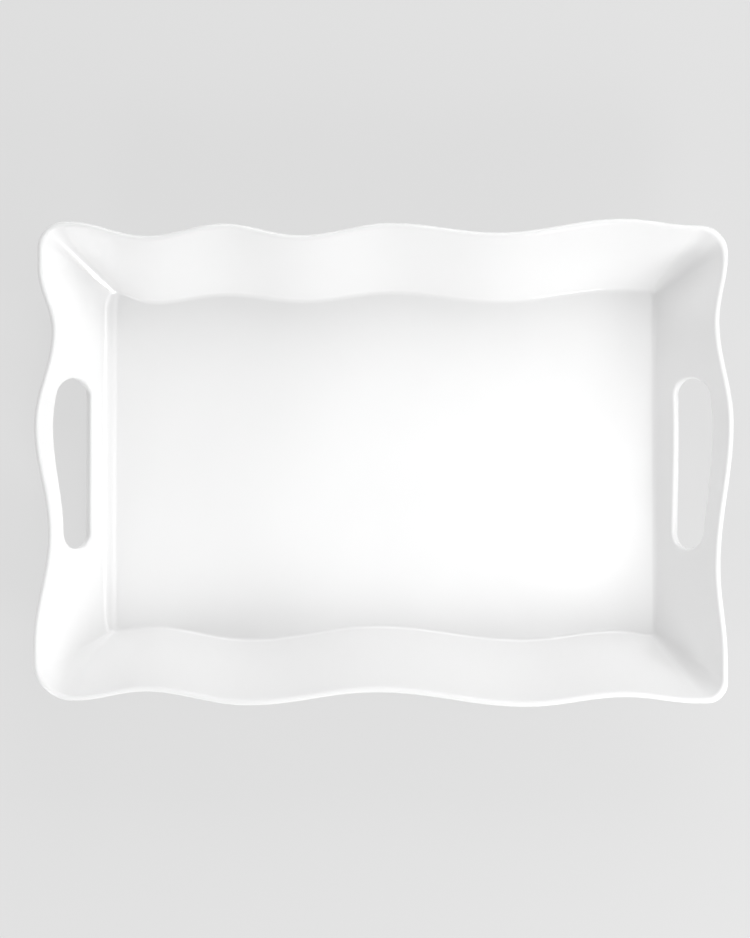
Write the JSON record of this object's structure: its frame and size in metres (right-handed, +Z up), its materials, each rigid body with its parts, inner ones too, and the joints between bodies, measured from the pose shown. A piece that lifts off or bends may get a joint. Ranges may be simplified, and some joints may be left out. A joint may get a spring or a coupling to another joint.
{
  "type": "handled serving tray",
  "caption": "Rectangular glazed china serving tray with flared walls, a ruffled rim, mitred corners and a hand hole in each end.",
  "frame": {"origin": "under the middle of the tray, on the plane the foot stands on", "axes": "+X to the right along the long side, +Y to the back, +Z up"},
  "size_m": [0.5079, 0.3543, 0.062],
  "materials": {
    "glaze": "high gloss white glaze",
    "bare_clay": "unglazed, wiped foot"
  },
  "bodies": {
    "root": {"well_floor": "glaze", "foot_ring": "bare_clay", "back_wall": "glaze", "front_wall": "glaze", "left_end_wall": "glaze", "right_end_wall": "glaze", "left_handle": "glaze", "right_handle": "glaze", "back_rim": "glaze", "front_rim": "glaze", "left_rim": "glaze", "right_rim": "glaze"}
  },
  "joints": []
}
